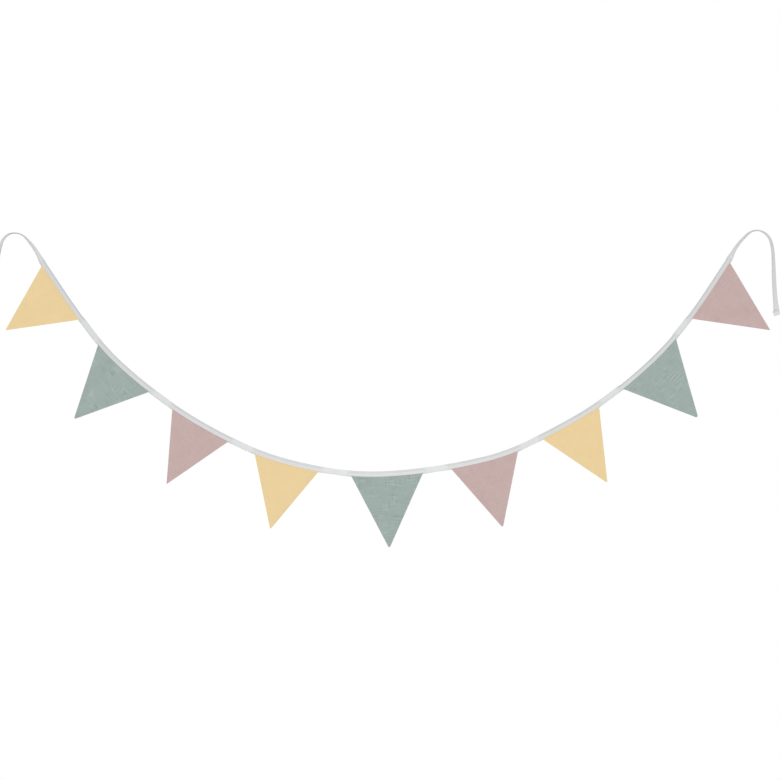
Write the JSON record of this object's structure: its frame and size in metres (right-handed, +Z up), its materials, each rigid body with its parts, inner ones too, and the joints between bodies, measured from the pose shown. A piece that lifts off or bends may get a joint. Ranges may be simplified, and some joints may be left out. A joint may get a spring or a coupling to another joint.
{
  "type": "fabric bunting",
  "caption": "String of triangular linen pennants sewn into a folded cotton binding, hanging in a swag, with a looped tie and a free hemmed end at each side.",
  "frame": {"origin": "where the left tie's loop rests on its hanging point, on the loop's inner side", "axes": "+X along the swag from the left hanging point to the right, +Y away from the viewer, +Z up"},
  "size_m": [1.781, 0.0208, 0.7146],
  "materials": {
    "binding_cotton": "matt woven cotton",
    "linen_yellow": "matt slubbed linen",
    "linen_green": "matt slubbed linen",
    "linen_rose": "matt slubbed linen"
  },
  "bodies": {
    "root": {"binding": "binding_cotton", "pennant_1_yellow": "linen_yellow", "pennant_2_green": "linen_green", "pennant_3_rose": "linen_rose", "pennant_4_yellow": "linen_yellow", "pennant_5_green": "linen_green", "pennant_6_rose": "linen_rose", "pennant_7_yellow": "linen_yellow", "pennant_8_green": "linen_green", "pennant_9_rose": "linen_rose"}
  },
  "joints": []
}
